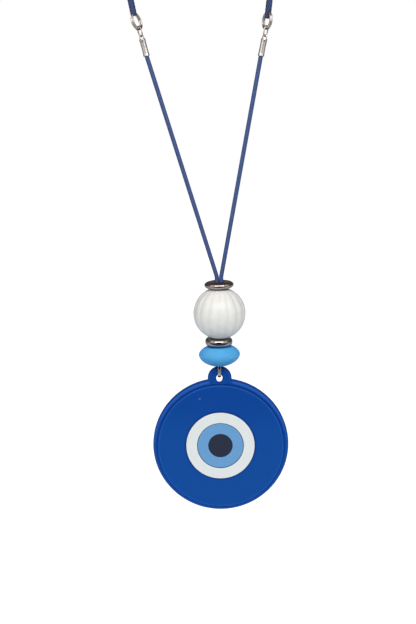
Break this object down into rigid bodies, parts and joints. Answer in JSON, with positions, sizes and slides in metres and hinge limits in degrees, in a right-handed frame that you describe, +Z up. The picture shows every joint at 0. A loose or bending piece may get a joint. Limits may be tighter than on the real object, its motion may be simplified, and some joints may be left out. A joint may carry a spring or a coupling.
{
  "type": "evil eye pendant ornament",
  "caption": "Hanging evil eye ornament: a moulded eye disc on a ring under metal, fluted white and sky blue beads, on a thin cord joined by ferrules and rings to a braided neck loop.",
  "frame": {"origin": "where the neck loop rests on its peg, on the underside of the cord at its highest point, straight above the beads", "axes": "+Z up as it hangs; the eye looks towards -Y; +X is to the right of a person facing the eye"},
  "size_m": [0.0701, 0.0182, 0.3418],
  "materials": {
    "neck_cord": "tightly braided polyester cord, satin, dark navy",
    "thin_cord": "fine braided nylon cord, satin, navy blue",
    "silver": "silver-plated, polished",
    "gunmetal": "dark nickel plate, mirror polished",
    "melon_white": "warm white, satin sheen",
    "blue_silicone": "sky blue silicone, matte",
    "pvc_navy": "soft moulded vinyl, royal blue, satin",
    "pvc_white": "soft moulded vinyl, white, satin",
    "pvc_light_blue": "soft moulded vinyl, light blue, satin",
    "pvc_ink": "soft moulded vinyl, ink blue, satin"
  },
  "bodies": {
    "neck": {"neck_cord": "neck_cord"},
    "left_ring": {"left_split_ring": "silver"},
    "left_link": {"left_jump_ring": "silver"},
    "right_ring": {"right_split_ring": "silver"},
    "right_link": {"right_jump_ring": "silver"},
    "drop": {"left_ferrule": "silver", "left_ferrule_eye": "silver", "left_cord_leg": "thin_cord", "right_ferrule": "silver", "right_ferrule_eye": "silver", "right_cord_leg": "thin_cord"},
    "strands": {"cord_core": "thin_cord"},
    "upper_rondelle": {"upper_metal_rondelle": "gunmetal"},
    "melon": {"melon_bead": "melon_white"},
    "lower_rondelle": {"lower_metal_rondelle": "gunmetal"},
    "blue": {"blue_bead": "blue_silicone"},
    "loop": {"cord_loop": "thin_cord"},
    "hanging_ring": {"pendant_ring": "silver"},
    "pendant": {"pendant_body": "pvc_navy", "white_ring_inlay": "pvc_white", "light_blue_ring_inlay": "pvc_light_blue", "pupil_inlay": "pvc_ink"}
  },
  "joints": [
    {"name": "left_ring_swing", "type": "hinge", "parent": "neck", "child": "left_ring", "pos_m": [-0.02861, 0, -0.1677], "axis": [1, 0, 0], "range_deg": [-15, 15]},
    {"name": "left_link_swing", "type": "hinge", "parent": "left_ring", "child": "left_link", "pos_m": [-0.02689, 0, -0.17244], "axis": [1, 0, 0], "range_deg": [-12, 12]},
    {"name": "right_ring_swing", "type": "hinge", "parent": "neck", "child": "right_ring", "pos_m": [0.01588, 0, -0.16726], "axis": [1, 0, 0], "range_deg": [-15, 15]},
    {"name": "right_link_swing", "type": "hinge", "parent": "right_ring", "child": "right_link", "pos_m": [0.01536, 0, -0.17227], "axis": [1, 0, 0], "range_deg": [-12, 12]},
    {"name": "drop_swing", "type": "hinge", "parent": "left_link", "child": "drop", "pos_m": [-0.02616, 0, -0.17483], "axis": [1, 0, 0], "range_deg": [-15, 15]},
    {"name": "bead_string_swing", "type": "hinge", "parent": "drop", "child": "strands", "pos_m": [-0.0002, 0, -0.2556], "axis": [1, 0, 0], "range_deg": [-25, 25]},
    {"name": "upper_rondelle_spin", "type": "hinge", "parent": "strands", "child": "upper_rondelle", "pos_m": [-0.0002, 0, -0.25842], "axis": [-0.0349, 0, 0.9994], "continuous": true},
    {"name": "melon_spin", "type": "hinge", "parent": "strands", "child": "melon", "pos_m": [0, 0, -0.2684], "axis": [0, 0, 1], "continuous": true},
    {"name": "lower_rondelle_spin", "type": "hinge", "parent": "strands", "child": "lower_rondelle", "pos_m": [-0.0002, 0, -0.27847], "axis": [0, 0, 1], "continuous": true},
    {"name": "blue_bead_spin", "type": "hinge", "parent": "strands", "child": "blue", "pos_m": [0, 0, -0.28299], "axis": [-0.0349, 0, 0.9994], "continuous": true},
    {"name": "pendant_turn", "type": "hinge", "parent": "strands", "child": "loop", "pos_m": [0, 0, -0.28524], "axis": [0, 0, 1], "range_deg": [-90, 90]},
    {"name": "pendant_ring_swing", "type": "hinge", "parent": "loop", "child": "hanging_ring", "pos_m": [0, 0, -0.28524], "axis": [1, 0, 0], "range_deg": [-10, 10]},
    {"name": "pendant_tilt", "type": "hinge", "parent": "hanging_ring", "child": "pendant", "pos_m": [0, 0, -0.29081], "axis": [0, 1, 0], "range_deg": [-25, 25]}
  ],
  "couplings": [
    {"joint": "right_ring_swing", "follows": "left_ring_swing", "ratio": 1},
    {"joint": "right_link_swing", "follows": "left_link_swing", "ratio": 1}
  ]
}
